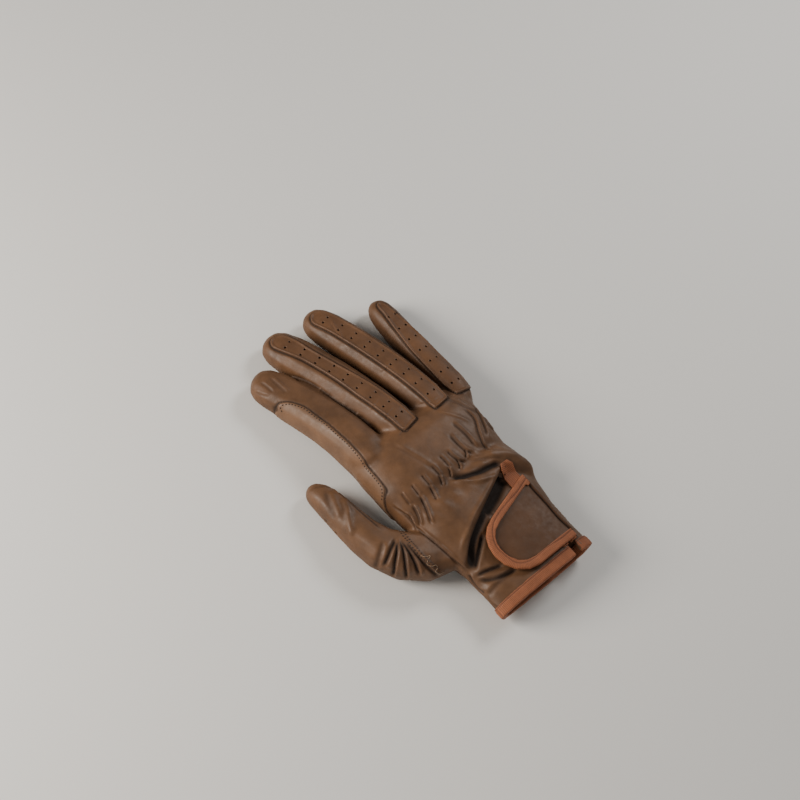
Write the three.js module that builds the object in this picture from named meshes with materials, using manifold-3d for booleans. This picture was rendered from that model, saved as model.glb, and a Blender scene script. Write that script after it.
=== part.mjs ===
// Horse riding glove for the right hand, lying palm down as it is put away. Millimetres, +Z up.
// +Y points to the fingertips and -X to the thumb. The origin is on the floor under the middle of its box.
// The hand is a hollow leather shell with a slit cuff. Four finger stalls and a thumb stall are sewn to it,
// perforated backs and a side patch are let in, and a bound tab closes the slit over the wrist.
import * as THREE from "three";
import { mergeVertices } from "three/addons/utils/BufferGeometryUtils.js";
import Module from "manifold-3d";

const wasm = await Module();
wasm.setup();

// Leather, tape and the play between them
const LEATHER = 1.5; // wall of the hand and the stalls
const SEAM_GAP = 0.3; // clearance between two pieces that meet
const PANEL_RISE = 0.5; // how far a let-in panel stands above the leather round it
const TAPE = 1.0; // thickness of the binding folded over each edge
const PAD_THICK = 1.0;
const TAB_THICK = 1.5;

// Palm and back
const PALM_LENGTH = 150; // hem to the web between the fingers
const PALM_DEPTH = 35; // palm to back, over the knuckles
const GATHER_HEIGHT = 1.3; // how far the folds beside the elastic stand up

// Fingers: length from the knuckle line to the tip, width across, depth palm to back, gap on the thumb side,
// and lower, how far the root lies below the middle finger's. lean and bow carry a finger to the little
// finger's side, as shares of its length, and flare widens it toward the tip, as a share of its width.
const INDEX = {
  name: "index", length: 103, width: 27, depth: 25, gap: 0, lower: 1.5, lean: 0.118, bow: -0.28, flare: 0,
};
const MIDDLE = {
  name: "middle", length: 120, width: 25, depth: 25, gap: 4, lower: 0, lean: 0.01, bow: -0.19, flare: 0.15,
};
const RING = {
  name: "ring", length: 119, width: 24, depth: 24.5, gap: 1.6, lower: 0, lean: 0.085, bow: -0.2, flare: 0.06,
};
const LITTLE = {
  name: "little", length: 101, width: 17.5, depth: 20.5, gap: 0.8, lower: 4.5, lean: 0.085, bow: 0,
  flare: 0.1,
};
const FINGERS = [INDEX, MIDDLE, RING, LITTLE];
const KNUCKLE_WIDTH = FINGERS.reduce((sum, finger) => sum + finger.width + finger.gap, 0);
const KNUCKLE_Y = 0.75 * PALM_LENGTH; // where the fingers' own lines begin, inside the palm

// Thumb
const THUMB_LENGTH = 90;
const THUMB_WIDTH = 29;
const THUMB_DEPTH = 23;
const PLEAT_HEIGHT = 1.2; // folds fanned round the thumb's root

// Perforations in the finger backs, in pairs
const HOLE = 1.3; // diameter
const HOLE_SIDES = 5;
const HOLE_PITCH = 10.5; // along the finger
const HOLE_SPREAD = 5; // between the two holes of a pair

// Closing tab, its pad, the slit under it and the tape round them
const TAB_LENGTH = 53.5; // across the wrist
const TAB_WIDTH = 48; // along the glove
const TAB_FROM_HEM = 9;
const TAB_BINDING_WIDTH = 4.5;
const SLIT_LENGTH = 67;
const SLIT_WIDTH = 6; // at the hem
const SLIT_END_WIDTH = 3.4;
const HEM_BINDING_WIDTH = 6.5;
const SLIT_BINDING_WIDTH = 4;

// The tab's free edge, from the neck by its base round its nose to its belly. The points between are what its
// two curves pull towards. reach is a share of TAB_LENGTH from the base, up of TAB_WIDTH from the hem's side.
const TAB_CURVE = {
  neck: { reach: 0.72, up: 0.79 },
  neck_pull: { reach: 0.92, up: 0.73 },
  high_pull: { reach: 1, up: 0.6 },
  nose: { reach: 1, up: 0.42 },
  low_pull: { reach: 1, up: 0.2 },
  belly_pull: { reach: 0.86, up: 0 },
  belly: { reach: 0.64, up: 0 },
};

// Sections of the palm and back, hem first. along is a share of PALM_LENGTH, left and right are shares of
// KNUCKLE_WIDTH, lift and depth of PALM_DEPTH. slant tilts the section's line across the glove, as the folds
// of the wrist run, and fold is a share of GATHER_HEIGHT. The gathers are on the outside only.
const PALM_SECTIONS = [
  { name: "hem", along: 0.0, slant: 0, left: -0.402, right: 0.39, lift: 0.05, depth: 0.54, fold: 0 },
  { name: "cuff", along: 0.11, slant: 0.1, left: -0.399, right: 0.386, lift: 0.03, depth: 0.6, fold: 0 },
  { name: "tabbed", along: 0.215, slant: 0.28, left: -0.394, right: 0.396, lift: -0.05, depth: 0.71, fold: 0 },
  { name: "narrow", along: 0.305, slant: 0.42, left: -0.396, right: 0.416, lift: -0.06, depth: 0.77, fold: 0 },
  { name: "crease", along: 0.35, slant: 0.5, left: -0.399, right: 0.431, lift: -0.06, depth: 0.77, fold: 0 },
  { name: "roll", along: 0.385, slant: 0.5, left: -0.416, right: 0.436, lift: -0.06, depth: 0.93, fold: 0 },
  { name: "wrist", along: 0.465, slant: 0.24, left: -0.466, right: 0.436, lift: -0.06, depth: 0.99, fold: 0 },
  { name: "gather", along: 0.51, slant: 0.12, left: -0.477, right: 0.426, lift: -0.06, depth: 0.97, fold: 1 },
  { name: "elastic", along: 0.55, slant: 0.06, left: -0.485, right: 0.421, lift: -0.06, depth: 0.93, fold: 0 },
  { name: "gathered", along: 0.59, slant: 0.03, left: -0.489, right: 0.421, lift: -0.06, depth: 0.98, fold: 1 },
  { name: "back", along: 0.66, slant: 0, left: -0.495, right: 0.431, lift: -0.06, depth: 1.05, fold: 0 },
  { name: "knuckles", along: 0.77, slant: 0, left: -0.493, right: 0.447, lift: -0.06, depth: 1.05, fold: 0 },
  { name: "web_top", along: 0.83, slant: 0, left: -0.483, right: 0.462, lift: -0.05, depth: 0.98, fold: 0 },
  { name: "web", along: 0.885, slant: 0, left: -0.467, right: 0.472, lift: 0.0, depth: 0.72, fold: 0 },
  { name: "web_low", along: 0.93, slant: 0, left: -0.436, right: 0.457, lift: 0.07, depth: 0.37, fold: 0 },
  { name: "front", along: 0.965, slant: 0, left: -0.365, right: 0.406, lift: 0.12, depth: 0.18, fold: 0 },
];
const KNUCKLE_LEFT = -0.493 * KNUCKLE_WIDTH;

// A finger from the knuckle line to the tip: along of its length, middle of PALM_DEPTH, width and depth of
// its own. The stall is sewn on at the seam row.
const FINGER_SECTIONS = [
  { name: "root", along: 0.0, middle: 0.5, width: 0.3, depth: 0.8 },
  { name: "knuckle", along: 0.1, middle: 0.5, width: 0.88, depth: 1.22 },
  { name: "crotch", along: 0.2, middle: 0.508, width: 1.0, depth: 1.11 },
  { name: "seam", along: 0.35, middle: 0.464, width: 1.0, depth: 0.99 },
  { name: "joint", along: 0.47, middle: 0.41, width: 1.0, depth: 0.92 },
  { name: "middle", along: 0.6, middle: 0.36, width: 1.0, depth: 0.86 },
  { name: "far_joint", along: 0.74, middle: 0.31, width: 0.98, depth: 0.8 },
  { name: "pad", along: 0.86, middle: 0.28, width: 0.93, depth: 0.73 },
  { name: "nail", along: 0.93, middle: 0.265, width: 0.82, depth: 0.63 },
  { name: "end", along: 0.975, middle: 0.258, width: 0.58, depth: 0.46 },
  { name: "tip", along: 0.997, middle: 0.255, width: 0.22, depth: 0.18 },
];
const SEAM_ROW = 3;

// The thumb from inside the palm to its tip. forward and out are shares of THUMB_LENGTH, middle and depth of
// THUMB_DEPTH, width of THUMB_WIDTH and fold of PLEAT_HEIGHT.
const THUMB_SECTIONS = [
  { name: "root", forward: 0.0, out: 0.0, middle: 0.56, width: 0.95, depth: 0.88, fold: 0 },
  { name: "heel", forward: 0.06, out: 0.15, middle: 0.56, width: 1.03, depth: 0.98, fold: 0.4 },
  { name: "pleats", forward: 0.165, out: 0.268, middle: 0.54, width: 1.0, depth: 1.02, fold: 1 },
  { name: "seam", forward: 0.3, out: 0.348, middle: 0.52, width: 0.86, depth: 1.0, fold: 0.6 },
  { name: "joint", forward: 0.45, out: 0.378, middle: 0.5, width: 0.74, depth: 0.96, fold: 0 },
  { name: "middle", forward: 0.6, out: 0.386, middle: 0.46, width: 0.67, depth: 0.89, fold: 0 },
  { name: "pad", forward: 0.75, out: 0.39, middle: 0.42, width: 0.61, depth: 0.8, fold: 0 },
  { name: "nail", forward: 0.86, out: 0.402, middle: 0.38, width: 0.51, depth: 0.68, fold: 0 },
  { name: "end", forward: 0.92, out: 0.415, middle: 0.35, width: 0.35, depth: 0.47, fold: 0 },
  { name: "tip", forward: 0.945, out: 0.423, middle: 0.34, width: 0.13, depth: 0.2, fold: 0 },
];
const THUMB_ROOT = { across: -0.37, along: 0.345 }; // of KNUCKLE_WIDTH and PALM_LENGTH

// The side patch's edges. reach is a share of the index finger's length from the knuckle line, inner of its
// width from its middle line to the edge on its back, and top and bottom of PALM_DEPTH. Where the top is
// OPEN_TOP, it is above the leather and the edge on the back ends the patch.
const OPEN_TOP = 1.2;
const PATCH_EDGES = [
  { reach: -0.29, inner: -0.36, top: 0.14, bottom: 0.09 },
  { reach: -0.2, inner: -0.36, top: 0.33, bottom: 0.1 },
  { reach: -0.12, inner: -0.36, top: 0.7, bottom: 0.12 },
  { reach: 0.0, inner: -0.33, top: OPEN_TOP, bottom: 0.14 },
  { reach: 0.25, inner: -0.3, top: OPEN_TOP, bottom: 0.14 },
  { reach: 0.46, inner: -0.24, top: OPEN_TOP, bottom: 0.12 },
  { reach: 0.64, inner: -0.19, top: OPEN_TOP, bottom: 0.12 },
  { reach: 0.73, inner: -0.26, top: OPEN_TOP, bottom: 0.14 },
  { reach: 0.79, inner: -0.4, top: OPEN_TOP, bottom: 0.24 },
];
const PATCH_OUTSIDE = -0.75; // of the finger's width, clear of the leather's side

// Sides of each cross-section, and how square it is: 2 is an ellipse, more is squarer
const BACK_SIDES = 22; // the back of the hand; the palm has half as many
const STALL_SIDES = 14;
const HOLLOW_SIDES = 8;
const PALM_SQUARENESS = 2.7;
const STALL_SQUARENESS = 2.9;
const BACK_STEPS = 6; // along a let-in back
const TAB_STEPS = 4; // along each of the tab's curves
const SLIT_END_STEPS = 3;

// A closed squarish outline round its middle, as a curve whose points can be spaced evenly.
class Squarish extends THREE.Curve {
  constructor(width, depth, squareness) {
    super();
    Object.assign(this, { width, depth, squareness });
  }
  getPoint(t, target = new THREE.Vector2()) {
    const angle = 2 * Math.PI * t;
    const [across, up] = [Math.cos(angle), Math.sin(angle)];
    const power = this.squareness;
    const reach = (Math.abs(across) ** power + Math.abs(up) ** power) ** (-1 / power);
    return target.set((reach * across * this.width) / 2, (reach * up * this.depth) / 2);
  }
}

const outline = (sides, width, depth, squareness) =>
  new Squarish(width, depth, squareness).getSpacedPoints(sides).slice(0, sides);

// What lies on the floor is flat there, and the leather keeps its thickness above it.
const flattened = (height, out) => Math.max(height, 0, -out);

// How far an end moves along with an offset: all of it at the tip, almost none before the last rows.
const END_POWER = 8;
const atEnd = (share, out) => out * share ** END_POWER;

// A slanted section turns back toward the hem on the little finger's side of the slit.
const SLIT_AT = 0.25 * KNUCKLE_WIDTH;
const TURN_BACK = 2.2;
const turned = (x) => x - TURN_BACK * Math.max(0, x - SLIT_AT);

// One section of the palm and back, out millimetres outside the leather's outer face.
const GATHERED_ABOVE = 0.3; // of a section's depth, up from its middle
function palmRing(row, out) {
  const left = row.left * KNUCKLE_WIDTH;
  const right = row.right * KNUCKLE_WIDTH;
  const depth = row.depth * PALM_DEPTH;
  const middle = row.lift * PALM_DEPTH + depth / 2;
  const points = outline(2 * BACK_SIDES, right - left + 2 * out, depth + 2 * out, PALM_SQUARENESS);
  const kept = points.filter((_, k) => k <= BACK_SIDES || k % 2 === 0);
  return kept.map((point, k) => {
    const onBack = point.y > GATHERED_ABOVE * depth && k % 2 === 0;
    const fold = onBack && out >= 0 ? GATHER_HEIGHT * row.fold : 0;
    const x = (left + right) / 2 + point.x;
    const y = row.along * PALM_LENGTH + row.slant * turned(x) + atEnd(row.along, out);
    return new THREE.Vector3(x, y, flattened(middle + point.y + fold, out));
  });
}

// A ring of a stall, square to its path.
function stallRing(centre, ahead, width, depth, out, sides, fold) {
  const side = new THREE.Vector3(ahead.y, -ahead.x, 0).normalize();
  return outline(sides, width + 2 * out, depth + 2 * out, STALL_SQUARENESS).map((point, k) => {
    const pleat = out >= 0 && point.y > 0 && k % 2 === 0 ? fold : 0;
    const corner = centre.clone().addScaledVector(side, point.x);
    return corner.setZ(flattened(centre.z + point.y + pleat, out));
  });
}

// The middle line of a finger, and its direction.
function fingerPoint(finger, share) {
  const before = FINGERS.slice(0, FINGERS.indexOf(finger)).reduce((sum, f) => sum + f.width + f.gap, 0);
  const start = KNUCKLE_LEFT + before + finger.gap + finger.width / 2;
  const drift = finger.length * (finger.lean * share + finger.bow * share * share);
  return new THREE.Vector3(start + drift, KNUCKLE_Y + finger.length * share, 0);
}

const fingerAhead = (finger, share) =>
  new THREE.Vector3(finger.lean + 2 * finger.bow * share, 1, 0).normalize();

const fingerHeight = (finger, row) => row.middle * PALM_DEPTH - finger.lower * (1 - row.along);

function fingerRing(finger, row, out, sides, shift = 0) {
  const share = row.along + (atEnd(row.along, out) + shift) / finger.length;
  const centre = fingerPoint(finger, share).setZ(fingerHeight(finger, row));
  const width = finger.width * row.width * (1 + finger.flare * row.along);
  return stallRing(centre, fingerAhead(finger, share), width, finger.depth * row.depth, out, sides, 0);
}

function thumbPoint(row) {
  const x = THUMB_ROOT.across * KNUCKLE_WIDTH - row.out * THUMB_LENGTH;
  const y = THUMB_ROOT.along * PALM_LENGTH + row.forward * THUMB_LENGTH;
  return new THREE.Vector3(x, y, row.middle * THUMB_DEPTH);
}

function thumbRing(_, row, out, sides, shift = 0) {
  const place = THUMB_SECTIONS.indexOf(row);
  const last = THUMB_SECTIONS.length - 1;
  const before = thumbPoint(THUMB_SECTIONS[Math.max(place - 1, 0)]);
  const after = thumbPoint(THUMB_SECTIONS[Math.min(place + 1, last)]);
  const ahead = after.sub(before).setZ(0).normalize();
  const centre = thumbPoint(row).addScaledVector(ahead, atEnd(place / last, out) + shift);
  const [width, depth] = [THUMB_WIDTH * row.width, THUMB_DEPTH * row.depth];
  return stallRing(centre, ahead, width, depth, out, sides, PLEAT_HEIGHT * row.fold);
}

// A geometry as a solid for joining and cutting, facing out whichever way it was wound.
function solid(geometry) {
  for (const name of ["normal", "uv"]) geometry.deleteAttribute(name);
  const merged = mergeVertices(geometry);
  const vertProperties = merged.getAttribute("position").array;
  const triVerts = new Uint32Array(merged.index.array);
  const [a, b, c] = [new THREE.Vector3(), new THREE.Vector3(), new THREE.Vector3()];
  let volume = 0;
  for (let first = 0; first < triVerts.length; first += 3) {
    [a, b, c].forEach((corner, n) => corner.fromArray(vertProperties, 3 * triVerts[first + n]));
    volume += a.dot(b.cross(c));
  }
  if (volume < 0) triVerts.reverse();
  return new wasm.Manifold(new wasm.Mesh({ numProp: 3, vertProperties, triVerts }));
}

// A closed body through rings of the same number of corners, with flat ends.
function loft(rings) {
  const sides = rings[0].length;
  const middleOf = (ring) => ring.reduce((sum, p) => sum.add(p), new THREE.Vector3()).divideScalar(sides);
  const points = [...rings.flat(), middleOf(rings[0]), middleOf(rings.at(-1))];
  const [firstMiddle, lastMiddle] = [points.length - 2, points.length - 1];
  const index = [];
  for (let k = 0; k < sides; k++) {
    const next = (k + 1) % sides;
    for (let start = 0; start < (rings.length - 1) * sides; start += sides) {
      const [a, b] = [start + k, start + next];
      index.push(a, b, b + sides, a, b + sides, a + sides);
    }
    const lastRing = (rings.length - 1) * sides;
    index.push(firstMiddle, next, k, lastMiddle, lastRing + k, lastRing + next);
  }
  const geometry = new THREE.BufferGeometry().setFromPoints(points);
  geometry.setIndex(index);
  return solid(geometry);
}

// A flat outline, pushed up from z = low to z = high.
const pushed = (corners, depth) =>
  new THREE.ExtrudeGeometry(new THREE.Shape(corners), { depth, bevelEnabled: false });
const prism = (corners, low = -PALM_DEPTH, high = 2 * PALM_DEPTH) =>
  solid(pushed(corners, high - low).translate(0, 0, low));

// The same for an outline in y and z, from x = low to x = high.
function sidePrism(corners, low, high) {
  const geometry = pushed(corners, high - low);
  geometry.applyMatrix4(new THREE.Matrix4().makeBasis(
    new THREE.Vector3(0, 1, 0), new THREE.Vector3(0, 0, 1), new THREE.Vector3(1, 0, 0),
  ));
  return solid(geometry.translate(low, 0, 0));
}

// An anticlockwise outline moved out by a distance, or in if it is negative.
function grown(corners, distance) {
  const count = corners.length;
  const squareTo = (from, to) => new THREE.Vector2(to.y - from.y, from.x - to.x).normalize();
  return corners.map((corner, k) => {
    const before = squareTo(corners[(k + count - 1) % count], corner);
    const both = before.add(squareTo(corner, corners[(k + 1) % count]));
    return corner.clone().addScaledVector(both, (distance * 2) / both.lengthSq());
  });
}

const slab = (fromY, toY) => prism([
  new THREE.Vector2(-PALM_LENGTH, fromY),
  new THREE.Vector2(PALM_LENGTH, fromY),
  new THREE.Vector2(PALM_LENGTH, toY),
  new THREE.Vector2(-PALM_LENGTH, toY),
]);

const joined = (solids) => solids.reduce((all, one) => all.add(one));

// The palm's body at an offset from the leather's outer face, carried past the hem by that much.
function palmBody(out, pastHem = 0) {
  const rows = PALM_SECTIONS.filter((row) => out >= 0 || row.fold === 0);
  const rings = rows.map((row) => palmRing(row, out));
  if (pastHem > 0) rings.unshift(rings[0].map((point) => point.clone().setY(point.y - pastHem)));
  return loft(rings);
}

// A stall's tube from its seam to the tip, and what the hand holds of it up to the seam.
const stallBody = (ringAt, finger, rows, out, sides) =>
  loft(rows.slice(SEAM_ROW).map((row) => ringAt(finger, row, out, sides)));
const rootBody = (ringAt, finger, rows, out, sides) =>
  loft(rows.slice(0, SEAM_ROW + 1).map((row, n) =>
    ringAt(finger, row, out, sides, n === SEAM_ROW ? -SEAM_GAP : 0)));
const wholeBody = (ringAt, finger, rows, out, sides) =>
  loft(rows.map((row) => ringAt(finger, row, out, sides)));

const TUBES = [
  ...FINGERS.map((finger) => [fingerRing, finger, FINGER_SECTIONS]),
  [thumbRing, { name: "thumb" }, THUMB_SECTIONS],
];
const PAST_HEM = 3 * TAPE;
const palmHollow = palmBody(-LEATHER, PAST_HEM);
const tubeHollow = (tube) => wholeBody(...tube, -LEATHER, HOLLOW_SIDES);
const hollow = joined([palmHollow, ...TUBES.map(tubeHollow)]);

// A strip along a finger between two shares of its length, with a round far end, as an anticlockwise outline.
// left and right are shares of the finger's width.
const ROUND_END = 0.5; // how much of the strip is round, as a share of the finger's width
const END_NARROWS = 0.8;
function fingerStrip(finger, from, to, left, right) {
  const step = (to - from) / BACK_STEPS;
  const shares = Array.from({ length: BACK_STEPS + 1 }, (_, n) => from + step * n);
  const roundFrom = to - (ROUND_END * finger.width) / finger.length;
  const edge = (side) => (share) => {
    const past = Math.max(0, (share - roundFrom) / (to - roundFrom));
    const reach = finger.width * side * Math.sqrt(1 - END_NARROWS * past * past);
    const ahead = fingerAhead(finger, share);
    const point = fingerPoint(finger, share);
    return new THREE.Vector2(point.x + ahead.y * reach, point.y - ahead.x * reach);
  };
  return [...shares.map(edge(right)), ...shares.map(edge(left)).reverse()];
}

// Windows in the leather where a piece is let in: one for each perforated finger back, one for the patch
const BACK_HALF = 0.36; // of the finger's width
const BACK_FROM = 0.1; // of the finger's length
const BACK_END = 8; // short of the tip
const BACKS = [MIDDLE, RING, LITTLE];

const backOutline = (finger) =>
  fingerStrip(finger, BACK_FROM, 1 - BACK_END / finger.length, -BACK_HALF, BACK_HALF);

// What lies above a finger's middle, from before the knuckle line to past the tip
function upperHalf(finger) {
  const middles = FINGER_SECTIONS.map(
    (row) => new THREE.Vector2(KNUCKLE_Y + row.along * finger.length, fingerHeight(finger, row)),
  );
  const top = [middles.at(-1), middles[0]].map((point) => point.clone().setY(2 * PALM_DEPTH));
  return sidePrism([...middles, ...top], -PALM_LENGTH, PALM_LENGTH);
}

const backWindow = (finger, less) => prism(grown(backOutline(finger), -less)).intersect(upperHalf(finger));

function patchWindow(less) {
  const seen = (height) => (row) =>
    new THREE.Vector2(KNUCKLE_Y + row.reach * INDEX.length, row[height] * PALM_DEPTH);
  const beside = (side) => (row) => {
    const ahead = fingerAhead(INDEX, Math.max(row.reach, 0));
    const point = fingerPoint(INDEX, Math.max(row.reach, 0));
    const y = point.y + Math.min(row.reach, 0) * INDEX.length;
    return new THREE.Vector2(point.x + ahead.y * side(row), y - ahead.x * side(row));
  };
  const inner = beside((row) => row.inner * INDEX.width);
  const outer = beside(() => PATCH_OUTSIDE * INDEX.width);
  const fromSide = [...PATCH_EDGES.map(seen("bottom")), ...PATCH_EDGES.map(seen("top")).reverse()];
  const fromAbove = [...PATCH_EDGES.map(inner), ...PATCH_EDGES.map(outer).reverse()];
  return sidePrism(grown(fromSide, -less), -PALM_LENGTH, 0).intersect(prism(grown(fromAbove, -less)));
}

// The slit in the back of the cuff, from below the hem to its round end
const SLIT_FLOOR = 0.36 * PALM_DEPTH;
const slitOutline = (() => {
  const [wide, narrow] = [SLIT_WIDTH / 2, SLIT_END_WIDTH / 2];
  const end = SLIT_LENGTH - narrow;
  const arc = new THREE.EllipseCurve(SLIT_AT, end, narrow, narrow, 0, Math.PI).getPoints(SLIT_END_STEPS);
  return [
    new THREE.Vector2(SLIT_AT - wide, -2 * PAST_HEM),
    new THREE.Vector2(SLIT_AT + wide, -2 * PAST_HEM),
    ...arc,
  ];
})();
const slitPrism = (more) => prism(grown(slitOutline, more), SLIT_FLOOR - Math.max(more, 0));

// The leather pieces
function handShell() {
  const outside = joined([palmBody(0), ...TUBES.map((tube) => rootBody(...tube, 0, STALL_SIDES))]);
  const windows = joined([...BACKS.map((finger) => backWindow(finger, 0)), patchWindow(0), slitPrism(0)]);
  return outside.subtract(hollow).subtract(windows);
}

function stall(tube) {
  const [, finger] = tube;
  let leather = stallBody(...tube, 0, STALL_SIDES).subtract(tubeHollow(tube));
  if (BACKS.includes(finger)) leather = leather.subtract(backWindow(finger, 0));
  if (finger === INDEX) leather = leather.subtract(patchWindow(0));
  return leather;
}

// The leather of the hand and one finger, as thick as a piece let into it
function letIn(finger) {
  const whole = wholeBody(fingerRing, finger, FINGER_SECTIONS, PANEL_RISE, STALL_SIDES);
  return palmBody(PANEL_RISE).add(whole).subtract(hollow);
}

const FIRST_HOLES = 0.9; // of a pitch from the panel's root
function backPanel(finger) {
  const reach = (1 - BACK_FROM) * finger.length - BACK_END;
  const rows = Math.floor(reach / HOLE_PITCH);
  const holes = [];
  for (let row = 0; row < rows; row++) {
    const share = BACK_FROM + (HOLE_PITCH * (row + FIRST_HOLES)) / finger.length;
    const [middle, ahead] = [fingerPoint(finger, share), fingerAhead(finger, share)];
    for (const side of [-HOLE_SPREAD / 2, HOLE_SPREAD / 2]) {
      const [x, y] = [middle.x + ahead.y * side, middle.y - ahead.x * side];
      const corners = new THREE.EllipseCurve(x, y, HOLE / 2, HOLE / 2).getPoints(HOLE_SIDES).slice(1);
      holes.push(prism(corners));
    }
  }
  return letIn(finger).intersect(backWindow(finger, SEAM_GAP)).subtract(joined(holes));
}

const sidePatch = () => letIn(INDEX).intersect(patchWindow(SEAM_GAP));

// The tab's D, anticlockwise: its base on the little finger's side of the slit, its free end past the middle
const TAB_BASE = SLIT_AT + SLIT_WIDTH / 2 + SLIT_BINDING_WIDTH;
const tabOutline = (() => {
  const at = ({ reach, up }) => [TAB_BASE - reach * TAB_LENGTH, TAB_FROM_HEM + up * TAB_WIDTH];
  const { neck, neck_pull, high_pull, nose, low_pull, belly_pull, belly } = TAB_CURVE;
  const shape = new THREE.Shape();
  shape.moveTo(...at({ reach: 0, up: 0 }));
  shape.lineTo(...at({ reach: 0, up: 1 }));
  shape.lineTo(...at(neck));
  shape.bezierCurveTo(...at(neck_pull), ...at(high_pull), ...at(nose));
  shape.bezierCurveTo(...at(low_pull), ...at(belly_pull), ...at(belly));
  return shape.getPoints(TAB_STEPS);
})();

// Heights above the leather's outer face: tape and pad lie on it, the tab on them, its own tape on the tab
const TAB_UNDER = 2 * SEAM_GAP + Math.max(TAPE, PAD_THICK);
const TAB_TOP = TAB_UNDER + TAB_THICK;
const onCuff = (low, high) => palmBody(high, PAST_HEM).subtract(palmBody(low, PAST_HEM));

const closureTab = () => onCuff(TAB_UNDER, TAB_TOP).intersect(prism(tabOutline, SLIT_FLOOR));

function tabBinding() {
  const round = prism(grown(tabOutline, SEAM_GAP + TAPE), SLIT_FLOOR);
  const inside = grown(tabOutline, -TAB_BINDING_WIDTH);
  const atBase = inside.map((corner) => corner.clone().setX(corner.x + TAB_BINDING_WIDTH + 2 * TAPE));
  const open = prism(inside, SLIT_FLOOR).add(prism(atBase, SLIT_FLOOR));
  const leather = palmBody(TAB_TOP + SEAM_GAP).intersect(prism(grown(tabOutline, SEAM_GAP)));
  const base = [
    new THREE.Vector2(TAB_BASE - TAPE, -PALM_LENGTH),
    new THREE.Vector2(PALM_LENGTH, -PALM_LENGTH),
    new THREE.Vector2(PALM_LENGTH, PALM_LENGTH),
    new THREE.Vector2(TAB_BASE - TAPE, PALM_LENGTH),
  ];
  const tape = onCuff(TAB_UNDER, TAB_TOP + SEAM_GAP + TAPE).intersect(round.subtract(open));
  return tape.subtract(leather).subtract(prism(base));
}

// Tape folded over an edge of the leather: what it fills, and the room that the leather takes in it
const TAPE_OUT = SEAM_GAP + TAPE;
const folded = () => palmBody(TAPE_OUT, TAPE_OUT).subtract(palmBody(-LEATHER - TAPE_OUT, PAST_HEM));
const leatherRoom = () => palmBody(SEAM_GAP, SEAM_GAP).subtract(palmBody(-LEATHER - SEAM_GAP, PAST_HEM));

const hemBinding = () =>
  folded().subtract(leatherRoom()).intersect(slab(-PAST_HEM, HEM_BINDING_WIDTH)).subtract(slitPrism(0));

function slitBinding() {
  const beside = slitPrism(SLIT_BINDING_WIDTH).subtract(slitPrism(-TAPE_OUT));
  const room = leatherRoom().subtract(slitPrism(-SEAM_GAP));
  const above = prism(grown(slitOutline, SLIT_BINDING_WIDTH), SLIT_FLOOR);
  const clear = slab(HEM_BINDING_WIDTH + SEAM_GAP, PALM_LENGTH);
  return folded().intersect(beside).intersect(above).subtract(room).intersect(clear);
}

function closurePad() {
  const inset = TAB_BINDING_WIDTH + TAPE;
  const slitSide = SLIT_AT - SLIT_WIDTH / 2 - SLIT_BINDING_WIDTH - TAPE;
  const keep = prism([
    new THREE.Vector2(-PALM_LENGTH, 0),
    new THREE.Vector2(slitSide, 0),
    new THREE.Vector2(slitSide, PALM_LENGTH),
    new THREE.Vector2(-PALM_LENGTH, PALM_LENGTH),
  ]);
  const face = prism(grown(tabOutline, -inset), SLIT_FLOOR);
  return onCuff(SEAM_GAP, SEAM_GAP + PAD_THICK).intersect(face).intersect(keep);
}

// Finishes
const finish = (name, color, roughness) =>
  new THREE.MeshStandardMaterial({ name, color, roughness, metalness: 0 });
const LEATHER_FINISH = finish("leather", 0x7a5a44, 0.55);
const PATCH_FINISH = finish("patch leather", 0x8c6a52, 0.6);
const TAB_FINISH = finish("tab leather", 0x5d4130, 0.5);
const TAPE_FINISH = finish("binding tape", 0xa55f3c, 0.75);
const PAD_FINISH = finish("pad", 0x2a211c, 0.9);

const glove = new THREE.Group();
function sew(name, manifold, material) {
  const { vertProperties, triVerts } = manifold.getMesh();
  const geometry = new THREE.BufferGeometry();
  geometry.setAttribute("position", new THREE.BufferAttribute(vertProperties, 3));
  geometry.setIndex(new THREE.BufferAttribute(triVerts, 1));
  geometry.computeVertexNormals();
  const mesh = new THREE.Mesh(geometry, material);
  mesh.name = name;
  glove.add(mesh);
}

sew("hand_shell", handShell(), LEATHER_FINISH);
for (const tube of TUBES) sew(`${tube[1].name}_stall`, stall(tube), LEATHER_FINISH);
for (const finger of BACKS) sew(`${finger.name}_back_panel`, backPanel(finger), LEATHER_FINISH);
sew("index_side_patch", sidePatch(), PATCH_FINISH);
sew("closure_tab", closureTab(), TAB_FINISH);
sew("tab_binding", tabBinding(), TAPE_FINISH);
sew("hem_binding", hemBinding(), TAPE_FINISH);
sew("slit_binding", slitBinding(), TAPE_FINISH);
sew("closure_pad", closurePad(), PAD_FINISH);

// The box's middle goes over the origin, and the palm already lies on z = 0.
const middle = new THREE.Box3().setFromObject(glove).getCenter(new THREE.Vector3());
glove.position.set(-middle.x, -middle.y, 0);

export default glove;
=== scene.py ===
import math

import bmesh
import bpy
import numpy as np
from mathutils import Matrix, Vector, kdtree, noise
from mathutils.bvhtree import BVHTree


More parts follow.
